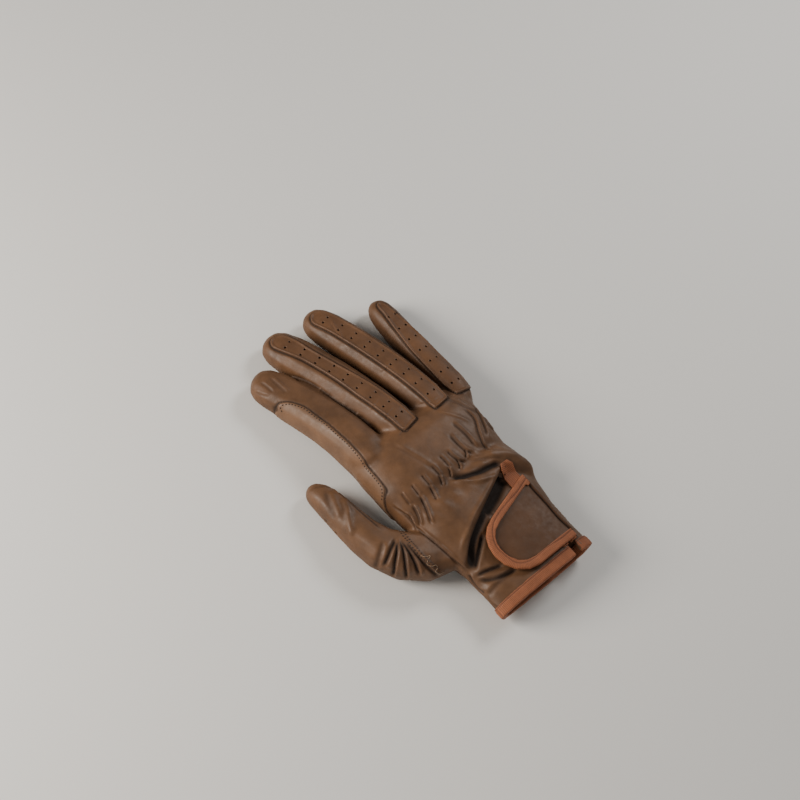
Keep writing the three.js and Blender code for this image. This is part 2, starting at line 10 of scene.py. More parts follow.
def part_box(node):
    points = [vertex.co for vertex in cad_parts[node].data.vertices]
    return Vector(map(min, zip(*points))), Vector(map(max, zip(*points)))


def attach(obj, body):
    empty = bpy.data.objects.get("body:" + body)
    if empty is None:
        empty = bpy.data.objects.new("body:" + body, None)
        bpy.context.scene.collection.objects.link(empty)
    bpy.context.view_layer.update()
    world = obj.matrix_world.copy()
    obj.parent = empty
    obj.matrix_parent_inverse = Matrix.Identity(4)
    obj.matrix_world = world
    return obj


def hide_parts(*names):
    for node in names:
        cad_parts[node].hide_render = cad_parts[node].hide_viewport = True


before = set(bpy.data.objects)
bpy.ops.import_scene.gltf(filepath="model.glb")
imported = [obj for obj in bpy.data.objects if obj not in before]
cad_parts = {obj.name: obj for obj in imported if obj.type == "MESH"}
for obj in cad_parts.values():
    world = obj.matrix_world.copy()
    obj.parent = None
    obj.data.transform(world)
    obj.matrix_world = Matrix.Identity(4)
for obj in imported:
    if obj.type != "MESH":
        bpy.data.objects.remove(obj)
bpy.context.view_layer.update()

MM = 0.001

# Camera
# It looks down on the back of the hand from beyond the cuff, on the thumb's side, as the photo does.
# Its place was found by laying the flat glove's outline over the photo.
CAMERA_AZIMUTH = math.radians(-62)
CAMERA_ELEVATION = math.radians(57)
CAMERA_ROLL = math.radians(22)
CAMERA_DISTANCE = 1100 * MM
CAMERA_AIM = Vector((20.87, 29.43, 18.4)) * MM
FRAME_PIXELS = 800
FOCAL_PIXELS = 1746
SENSOR = 36.0

to_camera = Vector((
    math.sin(CAMERA_AZIMUTH) * math.cos(CAMERA_ELEVATION),
    -math.cos(CAMERA_AZIMUTH) * math.cos(CAMERA_ELEVATION),
    math.sin(CAMERA_ELEVATION),
))
level = Vector((math.cos(CAMERA_AZIMUTH), math.sin(CAMERA_AZIMUTH), 0))
rising = to_camera.cross(level)
image_right = level * math.cos(CAMERA_ROLL) + rising * math.sin(CAMERA_ROLL)
image_up = rising * math.cos(CAMERA_ROLL) - level * math.sin(CAMERA_ROLL)
camera_place = CAMERA_AIM + to_camera * CAMERA_DISTANCE

camera_data = bpy.data.cameras.new("camera")
camera_data.sensor_width = SENSOR
camera_data.lens = FOCAL_PIXELS / FRAME_PIXELS * SENSOR
camera_data.clip_start = 0.05
camera = bpy.data.objects.new("camera", camera_data)
camera.matrix_world = Matrix.Translation(camera_place) @ Matrix(
    (image_right, image_up, to_camera)
).transposed().to_4x4()
bpy.context.scene.collection.objects.link(camera)
bpy.context.scene.camera = camera


def sight(pixel):
    """The direction from the camera through a pixel of the photo."""
    across = (pixel[0] - FRAME_PIXELS / 2) / FOCAL_PIXELS
    down = (pixel[1] - FRAME_PIXELS / 2) / FOCAL_PIXELS
    return (image_right * across - image_up * down - to_camera).normalized()


# Floor and light
# A plain pale floor, a broad soft key light from the thumb's side, a weak fill and a low light that
# draws a thin bright line along the little finger's side.
FLOOR_SIZE = 6.0
bm = bmesh.new()
bmesh.ops.create_grid(bm, x_segments=1, y_segments=1, size=FLOOR_SIZE / 2)
floor_mesh = bpy.data.meshes.new("floor")
bm.to_mesh(floor_mesh)
bm.free()
floor = bpy.data.objects.new("floor", floor_mesh)
bpy.context.scene.collection.objects.link(floor)


def plain_material(name, color, roughness):
    """A material of one colour."""
    material = bpy.data.materials.new(name)
    material.use_nodes = True
    shader = material.node_tree.nodes["Principled BSDF"]
    shader.inputs["Base Color"].default_value = (*color, 1)
    shader.inputs["Roughness"].default_value = roughness
    return material


floor_mesh.materials.append(plain_material("pale floor", (0.72, 0.71, 0.69), 0.8))

LIGHTS = [
    # name, right, up and toward the camera from the glove in metres, size, watts, colour
    ("key", -0.75, 0.15, 0.62, 0.5, 14.0, (1.0, 0.94, 0.86)),
    ("fill", 0.35, -0.75, 0.8, 0.9, 2.2, (1.0, 0.96, 0.9)),
    ("edge", 0.65, 0.75, 0.2, 0.35, 5.0, (1.0, 0.98, 0.95)),
]
for name, right, up, toward, size, watts, color in LIGHTS:
    light_data = bpy.data.lights.new(name, "AREA")
    light_data.shape = "DISK"
    light_data.size = size
    light_data.energy = watts
    light_data.color = color
    light = bpy.data.objects.new(name, light_data)
    offset = image_right * right + image_up * up + to_camera * toward
    light.location = CAMERA_AIM + offset
    light.rotation_mode = "QUATERNION"
    light.rotation_quaternion = offset.to_track_quat("Z", "Y")
    bpy.context.scene.collection.objects.link(light)

world = bpy.data.worlds.new("studio")
world.use_nodes = True
world.node_tree.nodes["Background"].inputs["Color"].default_value = (0.95, 0.93, 0.9, 1)
world.node_tree.nodes["Background"].inputs["Strength"].default_value = 0.2
bpy.context.scene.world = world

# Leather skin of the hand and fingers
# The real hand is thin soft leather, cut in pieces, sewn edge to edge and turned. The shell, the stalls and
# what is let into them are fused here, rounded, and then seamed, gathered and creased as the photo shows.
SKIN_NODES = [
    "hand_shell", "index_stall", "middle_stall", "ring_stall", "little_stall", "thumb_stall",
    "middle_back_panel", "ring_back_panel", "little_back_panel", "index_side_patch",
]
BACK_PANELS = ["middle_back_panel", "ring_back_panel", "little_back_panel"]
HOLE = 1.3 * MM  # across
SKIN_VOXEL = 0.8 * MM
CLOSING = 0.3 * MM  # what each piece is grown by, so that the seams between them close
WALL_GAP = 0.45 * MM  # walls that face each other across less are where two pieces are sewn together
ROUNDING = 26  # rounds of relaxing that turn the solids' edges into soft ones
UPRIGHT = 0.5  # a wall's normal rises less than this
SAME_SPOT = 0.005 * MM
OFF_FACE = 0.01 * MM  # a look along a face's normal starts this far off it
OBLIQUE = 0.15  # a look from a face is no flatter than this


def merged(node):
    """A CAD node's mesh with its loose triangles joined."""
    bm = bmesh.new()
    bm.from_mesh(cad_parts[node].data)
    bmesh.ops.remove_doubles(bm, verts=bm.verts, dist=SAME_SPOT)
    bm.normal_update()
    return bm


def take_out_holes(bm):
    """Fills the perforations of a back panel, and gives the middle of each."""
    bm.faces.index_update()
    upright = {face.index: face for face in bm.faces if abs(face.normal.z) < UPRIGHT}
    middles, walls = [], []
    while upright:
        island, front = [], [upright.popitem()[1]]
        while front:
            face = front.pop()
            island.append(face)
            for edge in face.edges:
                front.extend(upright.pop(other.index) for other in edge.link_faces if other.index in upright)
        corners = np.array([vert.co for face in island for vert in face.verts])
        low, high = corners.min(0), corners.max(0)
        if max((high - low)[:2]) < 2 * HOLE:
            middles.append((low + high) / 2)
            walls.extend(island)
    bmesh.ops.delete(bm, geom=walls, context="FACES")
    bmesh.ops.holes_fill(bm, edges=[edge for edge in bm.edges if edge.is_boundary], sides=0)
    bmesh.ops.triangulate(bm, faces=bm.faces)
    bm.normal_update()
    return middles


everything = bmesh.new()
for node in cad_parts.values():
    everything.from_mesh(node.data)
all_cad = BVHTree.FromBMesh(everything)
everything.free()

AROUND = [  # directions to look in, none of them back to the open cuff
    Vector((x, y, z)).normalized()
    for x in (-1, 0, 1) for y in (0.1, 1) for z in (-1, 0, 1)
    if (x, z) != (0, 0) or y == 1
]


def sees_out(place, normal):
    """Whether a face looks out of the glove, and not into its hollow."""
    start = place + normal * 2 * OFF_FACE
    looks = [way for way in AROUND if way.dot(normal) > OBLIQUE]
    return any(all_cad.ray_cast(start, way)[0] is None for way in looks)


perforations, rims = {}, {}
cad_verts, cad_faces, cad_outer = [], [], []
fused = bmesh.new()
for node in SKIN_NODES:
    bm = merged(node)
    if node in BACK_PANELS:
        perforations[node] = take_out_holes(bm)
    bm.faces.ensure_lookup_table()
    bm.verts.index_update()
    wall, outer_face = set(), set()
    for face in bm.faces:
        place = face.calc_center_median()
        opposite = all_cad.ray_cast(place + face.normal * OFF_FACE, face.normal, WALL_GAP)[0]
        if opposite is not None:
            wall.add(face)
        elif sees_out(place, face.normal):
            outer_face.add(face)
    first = len(cad_verts)
    cad_verts.extend(vert.co.copy() for vert in bm.verts)
    for face in bm.faces:
        if face not in wall:
            cad_faces.append([first + vert.index for vert in face.verts])
            cad_outer.append(face in outer_face)
    rims[node] = [
        (loop.vert.co.copy(), loop.link_loop_next.vert.co.copy(), loop.face.normal.copy())
        for edge in bm.edges if len(wall & set(edge.link_faces)) == 1
        for loop in edge.link_loops if loop.face in outer_face
    ]
    for vert in bm.verts:
        vert.co += vert.normal * CLOSING
    grown = bpy.data.meshes.new("grown")
    bm.to_mesh(grown)
    fused.from_mesh(grown)
    bpy.data.meshes.remove(grown)
    bm.free()
cad_surface = BVHTree.FromPolygons(cad_verts, cad_faces)

fused_mesh = bpy.data.meshes.new("fused")
fused.to_mesh(fused_mesh)
fused.free()
fused_pieces = bpy.data.objects.new("fused", fused_mesh)
bpy.context.scene.collection.objects.link(fused_pieces)
fuse = fused_pieces.modifiers.new("fuse", "REMESH")
fuse.mode = "VOXEL"
fuse.voxel_size = SKIN_VOXEL
evaluated = fused_pieces.evaluated_get(bpy.context.evaluated_depsgraph_get())
skin_mesh = bpy.data.meshes.new_from_object(evaluated)
bpy.data.objects.remove(fused_pieces)


def numbers(items, name, width):
    """An attribute of all of a mesh's vertices, edges or the like as an array."""
    kind = np.int32 if name == "vertices" else np.float32
    values = np.empty(len(items) * width, kind)
    items.foreach_get(name, values)
    return values.reshape(-1, width) if width > 1 else values


edges = numbers(skin_mesh.edges, "vertices", 2)
degree = np.bincount(edges.ravel(), minlength=len(skin_mesh.vertices))


def relaxed(values, rounds):
    """Values on the skin's vertices, evened out with their neighbours' a number of times."""
    for _ in range(rounds):
        totals = [
            np.bincount(edges[:, 0], column[edges[:, 1]], len(degree))
            + np.bincount(edges[:, 1], column[edges[:, 0]], len(degree))
            for column in values.reshape(len(degree), -1).T
        ]
        mean = np.stack(totals, axis=-1) / degree[:, None]
        values = (values + mean.reshape(values.shape)) / 2
    return values


def place_skin():
    """Moves the skin's vertices to their places, and gives its new normals."""
    skin_mesh.vertices.foreach_set("co", place.astype(np.float32).ravel())
    skin_mesh.update()
    return numbers(skin_mesh.vertex_normals, "vector", 3).astype(float)


def cad_below(points):
    """For each point the nearest CAD face, and how far outside it the point is."""
    faces, heights = np.empty(len(points), int), np.empty(len(points))
    for k, point in enumerate(points):
        spot, normal, faces[k], _ = cad_surface.find_nearest(point)
        heights[k] = (Vector(point) - spot).dot(normal)
    return faces, heights


place = relaxed(numbers(skin_mesh.vertices, "co", 3).astype(float), ROUNDING)
normal = place_skin()
nearest, height = cad_below(place)
place -= normal * relaxed(height, ROUNDING)[:, None]
normal = place_skin()
outer = np.array(cad_outer)[nearest]
skin_shape = BVHTree.FromPolygons(place.tolist(), [face.vertices[:] for face in skin_mesh.polygons])
PIXEL_STEP = 0.7  # between the pixels at which a line is laid on the leather


def on_leather(pixels, step=0.5 * MM, shape=skin_shape):
    """A smooth line through pixels of the photo, laid on the leather, or on another shape, where the camera
    sees it."""
    pixels = np.array(pixels, float)
    knots = [2 * pixels[0] - pixels[1], *pixels, 2 * pixels[-1] - pixels[-2]]
    points, facing = [], []
    for before, start, end, after in zip(knots, knots[1:], knots[2:], knots[3:]):
        for t in np.arange(0, 1, PIXEL_STEP / (1 + np.linalg.norm(end - start))):
            bend = (end - before) * t + (2 * before - 5 * start + 4 * end - after) * t ** 2
            bend += (3 * start - before - 3 * end + after) * t ** 3
            spot, side, _, _ = shape.ray_cast(camera_place, sight(start + bend / 2))
            if spot is not None:
                points.append(spot)
                facing.append(side)
    return evenly(points, facing, step)


def evenly(points, facing, step):
    """A line's points spaced evenly, with the direction along it and the one out of the leather."""
    points, facing = np.array(points), np.array(facing)
    run = np.concatenate([[0], np.cumsum(np.linalg.norm(np.diff(points, axis=0), axis=1))])
    even = np.linspace(0, run[-1], max(3, int(run[-1] / step) + 1))
    points = np.stack([np.interp(even, run, column) for column in points.T], axis=1)
    facing = np.stack([np.interp(even, run, column) for column in facing.T], axis=1)
    ahead = np.gradient(points, axis=0)
    ahead /= np.linalg.norm(ahead, axis=1)[:, None]
    facing -= ahead * (facing * ahead).sum(1)[:, None]
    facing /= np.linalg.norm(facing, axis=1)[:, None]
    return {"points": points, "ahead": ahead, "out": facing, "run": even}


def tree_of(points):
    """A tree that finds the nearest of points."""
    tree = kdtree.KDTree(len(points))
    for k, point in enumerate(points):
        tree.insert(point, k)
    tree.balance()
    return tree


def beside(line, reach):
    """The outer vertices within reach of a line: which, how far along it, and how far to its right."""
    low, high = line["points"].min(0) - reach, line["points"].max(0) + reach
    chosen = np.flatnonzero(((place > low) & (place < high)).all(1) & outer)
    tree = tree_of(line["points"])
    found = np.array([tree.find(point)[1:] for point in place[chosen]]).reshape(-1, 2)
    chosen, at = chosen[found[:, 1] < reach], found[found[:, 1] < reach, 0].astype(int)
    from_line = place[chosen] - line["points"][at]
    along = line["run"][at] + (from_line * line["ahead"][at]).sum(1)
    right = (from_line * np.cross(line["ahead"][at], line["out"][at])).sum(1)
    return chosen, along / line["run"][-1], right


rise = np.zeros(len(place))  # how far the details lift each vertex of the skin
dark = np.zeros(len(place))  # painted shade: how much of a crease it lies in
SMALL_SHARE = 0.18  # of a line's length, over which its ends fade
SHADE_FULL_GROOVE = 1.5 * MM  # a groove this deep is painted in full shade


def press(line, width, ridge, groove):
    """A raised line and a sunk one on its right, with painted shade in the sunk one, fading out at both
    ends.
    """
    chosen, along, right = beside(line, 4 * width)
    fade = np.clip(np.minimum(along, 1 - along) / SMALL_SHARE, 0, 1)
    fade = fade * fade * (3 - 2 * fade)
    shift = 0.7 * width if ridge and groove else 0
    sunk = np.exp(-(((right - shift) / (0.75 * width)) ** 2)) * fade
    raised = np.exp(-(((right + shift) / width) ** 2)) * fade
    rise[chosen] += ridge * raised - groove * sunk
    # painted shade in the groove, darker the deeper it is
    np.maximum.at(dark, chosen, np.minimum(1.0, sunk * groove / SHADE_FULL_GROOVE))


# Seams that show as lines on the back of the hand and the thumb, folds, gathers and creases, each groove
# with painted shade in it.
LINES = [
    # name, width, ridge and groove in mm, pixels of the photo that it passes
    ("side seam", 1.0, 0.7, 0.9, [
        (389, 502), (397, 508), (406, 514), (419, 528), (437, 543), (456, 560), (474, 575),
    ]),
    ("thumb seam", 0.9, 0.5, 0.8, [
        (384, 532), (367, 518), (352, 505), (342, 496), (333, 489), (321, 487), (309, 491),
    ]),
    ("middle crease 1", 0.5, 0.25, 0.3, [(370, 411), (374, 406), (379, 400)]),
    ("middle crease 2", 0.5, 0.25, 0.3, [(384, 421), (388, 414), (394, 407)]),
    ("middle crease 3", 0.5, 0.3, 0.35, [(398, 436), (402, 431), (407, 424)]),
    ("ring crease 1", 0.8, 0.3, 0.3, [(330, 320), (335, 328), (342, 339)]),
    ("ring crease 2", 0.5, 0.25, 0.3, [(380, 372), (385, 369), (390, 364)]),
    ("ring crease 3", 0.5, 0.3, 0.35, [(419, 404), (426, 402), (433, 401), (439, 397)]),
    ("long fold", 1.6, 0.5, 0.2, [(392, 442), (412, 454), (424, 461), (441, 473)]),
    ("roll", 3.2, 1.9, 0, [
        (466, 457), (485, 454), (499, 453), (513, 455), (526, 463), (532, 473), (534, 480),
    ]),
    ("under the roll", 2.4, 0, 2.3, [(449, 478), (459, 477), (480, 471), (497, 464), (504, 467)]),
    ("flap edge", 1.6, 1.0, 0, [(448, 481), (462, 481), (480, 480), (500, 474)]),
    ("gap", 3.0, 0, 5.2, [
        (507, 462), (502, 476), (495, 492), (488, 508), (481, 524), (475, 540), (472, 556), (472, 574),
    ]),
    ("gap beside the tab", 2.4, 0, 2.6, [(505, 478), (501, 488), (497, 497), (492, 507), (487, 518)]),
    ("between index and middle", 1.1, 0, 0.9, [
        (284, 372), (310, 383), (327, 394), (339, 403), (356, 414), (371, 426), (380, 434),
    ]),
    ("back edge", 1.4, 0.8, 0, [
        (498, 468), (493, 480), (484, 497), (475, 513), (469, 528), (463, 543), (461, 558),
    ]),
    ("knuckle fold", 1.4, 0.5, 0.5, [(447, 398), (459, 402), (470, 408), (480, 412)]),
    ("outer fold", 1.1, 0.7, 0.9, [(472, 404), (480, 415), (485, 426), (489, 437)]),
    ("second fold", 1.1, 0.7, 0.9, [(463, 406), (475, 418), (480, 434), (485, 446), (494, 451)]),
    ("third fold", 1.3, 0.6, 0.9, [(452, 421), (461, 428), (470, 437), (478, 448)]),
    ("fourth fold", 1.3, 0.6, 1.0, [(450, 433), (458, 442), (466, 449), (476, 453)]),
    ("fifth fold", 1.1, 0.6, 0.9, [(447, 449), (454, 456), (461, 460), (467, 461)]),
    ("edge fold", 1.2, 0.6, 0.7, [(483, 416), (492, 428), (502, 438), (510, 445)]),
    ("roll's own fold", 0.9, 0.3, 0.4, [(470, 461), (482, 459), (493, 457), (503, 458)]),
    ("small fold", 1.3, 0.5, 0.2, [(436, 412), (450, 415), (462, 419), (472, 424)]),
    ("pleat 1", 0.9, 0.9, 0.9, [(405, 512), (411, 517), (415, 525), (418, 531)]),
    ("pleat 2", 0.9, 1.1, 1.0, [(413, 504), (417, 511), (420, 519), (421, 527)]),
    ("pleat 3", 1.0, 1.2, 1.1, [(420, 494), (425, 503), (429, 513), (433, 525)]),
    ("pleat 4", 0.9, 1.1, 1.0, [(430, 485), (434, 492), (438, 500)]),
    ("pleat 5", 0.9, 1.0, 1.0, [(440, 475), (442, 480), (444, 486)]),
    ("pleat 6", 0.8, 0.9, 1.0, [(449, 467), (451, 472), (452, 478)]),
    ("pleat 7", 0.8, 0.8, 1.0, [(457, 458), (460, 464), (461, 470)]),
    ("pleat 8", 0.8, 0.8, 1.0, [(466, 449), (467, 454), (467, 459)]),
    ("upper pleat 1", 0.9, 0.6, 0.8, [(402, 492), (407, 499), (412, 505)]),
    ("upper pleat 2", 0.9, 0.6, 0.8, [(412, 484), (417, 490), (421, 496)]),
    ("upper pleat 3", 0.9, 0.6, 0.8, [(422, 474), (427, 480), (432, 486)]),
    ("upper pleat 4", 0.9, 0.6, 0.8, [(431, 464), (437, 470), (442, 476)]),
    ("upper pleat 5", 0.9, 0.6, 0.8, [(440, 455), (446, 461), (451, 467)]),
    ("thumb dent", 2.6, 0.7, 0.6, [(329, 491), (331, 499), (334, 508), (337, 520)]),
    ("thumb fold", 2.2, 1.2, 0.2, [(339, 498), (345, 507), (347, 522), (350, 540)]),
    ("thumb pleat 1", 1.5, 0.8, 1.5, [(398, 538), (393, 549), (389, 559), (385, 568)]),
    ("thumb pleat 2", 1.3, 0.8, 1.6, [(399, 539), (398, 553), (396, 566), (394, 579)]),
    ("thumb pleat 3", 1.3, 0.8, 1.5, [(401, 539), (405, 552), (407, 565), (408, 580)]),
    ("thumb pleat 4", 1.4, 0.9, 1.5, [(402, 538), (411, 552), (417, 563), (421, 577)]),
    ("thumb pleat 5", 1.4, 0.9, 1.3, [(404, 538), (417, 553), (428, 565), (440, 577)]),
    ("thumb pleat 6", 2.0, 0.5, 0.8, [(386, 540), (383, 552), (380, 562), (377, 571)]),
    ("cuff fold 1", 1.7, 0.4, 1.8, [(485, 533), (482, 547), (479, 560), (476, 572)]),
    ("cuff fold 2", 1.5, 0.6, 1.4, [(475, 575), (485, 570), (495, 566), (504, 563)]),
    ("cuff fold 3", 1.7, 0.8, 1.3, [(477, 578), (490, 578), (503, 574), (518, 566)]),
    ("cuff fold 4", 1.9, 0.8, 0.5, [(486, 595), (495, 584), (505, 575), (515, 569)]),
    ("cuff fold 5", 2.2, 0.3, 0.9, [(532, 569), (545, 560), (558, 550), (570, 541)]),
    ("cuff pinch", 1.4, 0.7, 1.5, [(469, 573), (474, 582), (480, 589), (486, 593)]),
    ("cuff seam", 0.7, 0.4, 0.6, [(487, 594), (492, 602), (499, 607), (508, 611)]),
    ("index fold 1", 1.3, 0.5, 0.4, [(270, 376), (279, 384), (289, 393)]),
    ("index fold 2", 1.2, 0.4, 0.4, [(261, 381), (268, 386), (275, 392)]),
    ("index fold 3", 1.0, 0.3, 0.3, [(255, 391), (262, 394), (270, 396)]),
]
for _, width, ridge, groove, pixels in LINES:
    press(on_leather(pixels), width * MM, ridge * MM, groove * MM)

# Two small pits where the thumb's seam is tacked, with painted shade in them
TACKS = [(326, 521), (336, 533)]
TACK_RADIUS = 0.8 * MM
TACK_DEPTH = 0.9 * MM
for pixel in TACKS:
    spot = skin_shape.ray_cast(camera_place, sight(pixel))[0]
    pit = np.exp(-((np.linalg.norm(place - spot, axis=1) / TACK_RADIUS) ** 2)) * outer
    rise -= TACK_DEPTH * pit
    # painted shade in the pit
    dark = np.maximum(dark, pit)

# The leather is nowhere quite flat
SWELLS = ((14 * MM, 0.22 * MM), (5 * MM, 0.08 * MM))  # how wide and how high
for size, height in SWELLS:
    rise += height * np.array([noise.noise(Vector(point) / size) for point in place])

# Where the outside is pressed in deeper than the wall is thick, the inside goes with it
WALL = 1.2 * MM
SINK_REACH = 4 * MM
SINK_ROUNDS = 3
OPPOSED = -0.2  # the dot product of two normals on either side of a wall is less
deep = np.flatnonzero(outer & (rise < -WALL))
tree = tree_of(place[deep])
sink = np.zeros_like(place)
for vertex in np.flatnonzero(~outer):
    _, at, away = tree.find(place[vertex])
    over = deep[at]
    if away < SINK_REACH and normal[vertex] @ normal[over] < OPPOSED:
        sink[vertex] = normal[over] * (rise[over] + WALL / 2)
place += relaxed(sink, SINK_ROUNDS) * ~outer[:, None] + normal * (rise * outer)[:, None]
normal = place_skin()


# The finish is shared by all the leathers: cloudy colour, painted shade in the creases, fine grain and a
# soft shine
def socket_of(group, name, kind, output=False, value=None):
    """Adds an input or an output to a node group."""
    made = group.interface.new_socket(name, in_out="OUTPUT" if output else "INPUT", socket_type=kind)
    if value is not None:
        made.default_value = value


leather_group = bpy.data.node_groups.new("soft leather", "ShaderNodeTree")
socket_of(leather_group, "Leather", "NodeSocketColor", value=(0.17, 0.09, 0.05, 1))
socket_of(leather_group, "Grain Size", "NodeSocketFloat", value=1.0)
socket_of(leather_group, "Mottling", "NodeSocketFloat", value=0.3)
socket_of(leather_group, "Color", "NodeSocketColor", True)
socket_of(leather_group, "Roughness", "NodeSocketFloat", True)
socket_of(leather_group, "Height", "NodeSocketFloat", True)


def wire(tree, nodes, links):
    """Adds nodes from rows of (name, kind, settings, input values), and links them."""
    made = {}
    for name, kind, settings, values in nodes:
        made[name] = tree.nodes.new(kind)
        for key, value in settings.items():
            setattr(made[name], key, value)
        for key, value in values.items():
            made[name].inputs[key].default_value = value
    for source, output, target, entry in links:
        start = made[source].outputs[output] if source in made else tree.nodes[source].outputs[output]
        end = made[target].inputs[entry] if target in made else tree.nodes[target].inputs[entry]
        tree.links.new(start, end)


wire(leather_group, [
    ("in", "NodeGroupInput", {}, {}),
    ("out", "NodeGroupOutput", {}, {}),
    ("where", "ShaderNodeTexCoord", {}, {}),
    ("crease", "ShaderNodeAttribute", {"attribute_name": "crease"}, {}),
    ("cloud", "ShaderNodeTexNoise", {}, {"Scale": 70.0, "Detail": 4.0, "Roughness": 0.6}),
    ("pebble scale", "ShaderNodeMath", {"operation": "DIVIDE"}, {0: 1150.0}),
    ("pebbles", "ShaderNodeTexVoronoi", {"feature": "SMOOTH_F1"}, {"Randomness": 1.0, "Smoothness": 0.6}),
    ("pores", "ShaderNodeTexNoise", {}, {"Scale": 2600.0, "Detail": 3.0}),
    ("fine lines", "ShaderNodeTexNoise", {}, {"Scale": 330.0, "Detail": 6.0, "Roughness": 0.7}),
    ("cloud range", "ShaderNodeMapRange", {},
     {"From Min": 0.3, "From Max": 0.7, "To Min": -1.0, "To Max": 1.0}),
    ("cloud share", "ShaderNodeMath", {"operation": "MULTIPLY"}, {}),
    ("value", "ShaderNodeMath", {"operation": "MULTIPLY_ADD"}, {1: 0.6, 2: 1.0}),
    ("mottled", "ShaderNodeHueSaturation", {}, {}),
    # where the crease attribute is, the colour goes to near-black: painted shade
    ("painted_crease_shade", "ShaderNodeMix", {"data_type": "RGBA"}, {7: (0.007, 0.003, 0.0015, 1)}),
    ("crease share", "ShaderNodeMath", {"operation": "MULTIPLY"}, {1: 0.97}),
    ("shine", "ShaderNodeMapRange", {}, {"From Min": 0.3, "From Max": 0.7, "To Min": 0.42, "To Max": 0.60}),
    ("shine in creases", "ShaderNodeMath", {"operation": "MULTIPLY_ADD"}, {1: 0.35}),
    ("pebble height", "ShaderNodeMath", {"operation": "MULTIPLY_ADD"}, {1: 0.35}),
    ("pore height", "ShaderNodeMath", {"operation": "MULTIPLY"}, {1: 0.2}),
    ("line height", "ShaderNodeMath", {"operation": "MULTIPLY_ADD"}, {1: 0.7}),
], [
    ("where", "Object", "cloud", "Vector"), ("where", "Object", "pebbles", "Vector"),
    ("where", "Object", "pores", "Vector"), ("where", "Object", "fine lines", "Vector"),
    ("in", "Grain Size", "pebble scale", 1), ("pebble scale", 0, "pebbles", "Scale"),
    ("cloud", "Fac", "cloud range", "Value"), ("cloud range", 0, "cloud share", 0),
    ("in", "Mottling", "cloud share", 1), ("cloud share", 0, "value", 0),
    ("value", 0, "mottled", "Value"), ("in", "Leather", "mottled", "Color"),
    ("crease", "Fac", "crease share", 0), ("crease share", 0, "painted_crease_shade", 0),
    ("mottled", "Color", "painted_crease_shade", 6), ("painted_crease_shade", 2, "out", "Color"),
    ("fine lines", "Fac", "shine", "Value"), ("crease", "Fac", "shine in creases", 0),
    ("shine", 0, "shine in creases", 2), ("shine in creases", 0, "out", "Roughness"),
    ("pores", "Fac", "pore height", 0), ("pebbles", "Distance", "pebble height", 0),
    ("pore height", 0, "pebble height", 2), ("fine lines", "Fac", "line height", 0),
    ("pebble height", 0, "line height", 2), ("line height", 0, "out", "Height"),
])


def leather(name, color, grain_size, mottling, bump):
    """A leather finish of one colour."""
    material = plain_material(name, color, 0.5)
    material.node_tree.nodes["Principled BSDF"].inputs["Specular IOR Level"].default_value = 0.35
    wire(material.node_tree, [
        ("surface", "ShaderNodeGroup", {"node_tree": leather_group},
         {"Leather": (*color, 1), "Grain Size": grain_size, "Mottling": mottling}),
        ("grain", "ShaderNodeBump", {}, {"Strength": bump, "Distance": 0.25 * MM}),
    ], [
        ("surface", "Color", "Principled BSDF", "Base Color"),
        ("surface", "Roughness", "Principled BSDF", "Roughness"),
        ("surface", "Height", "grain", "Height"),
        ("grain", "Normal", "Principled BSDF", "Normal"),
    ])
    return material


skin_finish = leather("soft brown leather", (0.104, 0.050, 0.023), 1.0, 0.45, 0.35)

# Perforated backs of three fingers
# Each is a narrow piece of the same leather, punched with pairs of holes, sewn in face to face and turned,
# so that its edge stands up in a small roll over the seam. It is cut out of the skin and lifted off it.
HOLE_RADIUS = 0.75 * MM
PANEL_HALF_WIDTHS = (3.6 * MM, 7.0 * MM)  # the least and the most
PANEL_ROUND = 7 * MM  # length of the round end
PAST_TIP = 4.5 * MM  # how far the panel goes on past the end of its node
PANEL_LIP = 0.8 * MM
WIDTH_ROUNDS = 60  # of evening out the width along the panel
CORNER_ROUNDS = 14  # of rounding the corners of its outline
PANEL_ROUNDS = 4  # of relaxing the field that it is cut out by
EDGE_STEP = 0.3 * MM
OUTLINE_STEP = 0.4 * MM
OVERHEAD = 100 * MM
FAR = 4 * MM  # what is farther from an edge counts as this far
NEAR_EDGE = 1.2 * MM
SHEET_LIFT = 0.3 * MM
SHEET_THICKNESS = 0.8 * MM
EDGE_DROP = 0.4 * MM  # how far below the skin the very edge of a sheet goes
EDGE_DROP_WIDTH = 0.5 * MM
EDGE_SHADE_WIDTH = 0.35 * MM
LIP_IN = 1.1 * MM  # from the edge to the crest of the lip
LIP_WIDTH = 0.8 * MM
SHEET_ROUNDS = 3
SHEET_MARGIN = 1.5 * MM
SAME_SIDE = -0.1  # the skin round a sheet faces its way at least this much
HOLE_AROUND = 3.5  # radii within which the sheet is looked at round a hole
RIM_AROUND = 2.2  # radii within which its ragged rim lies


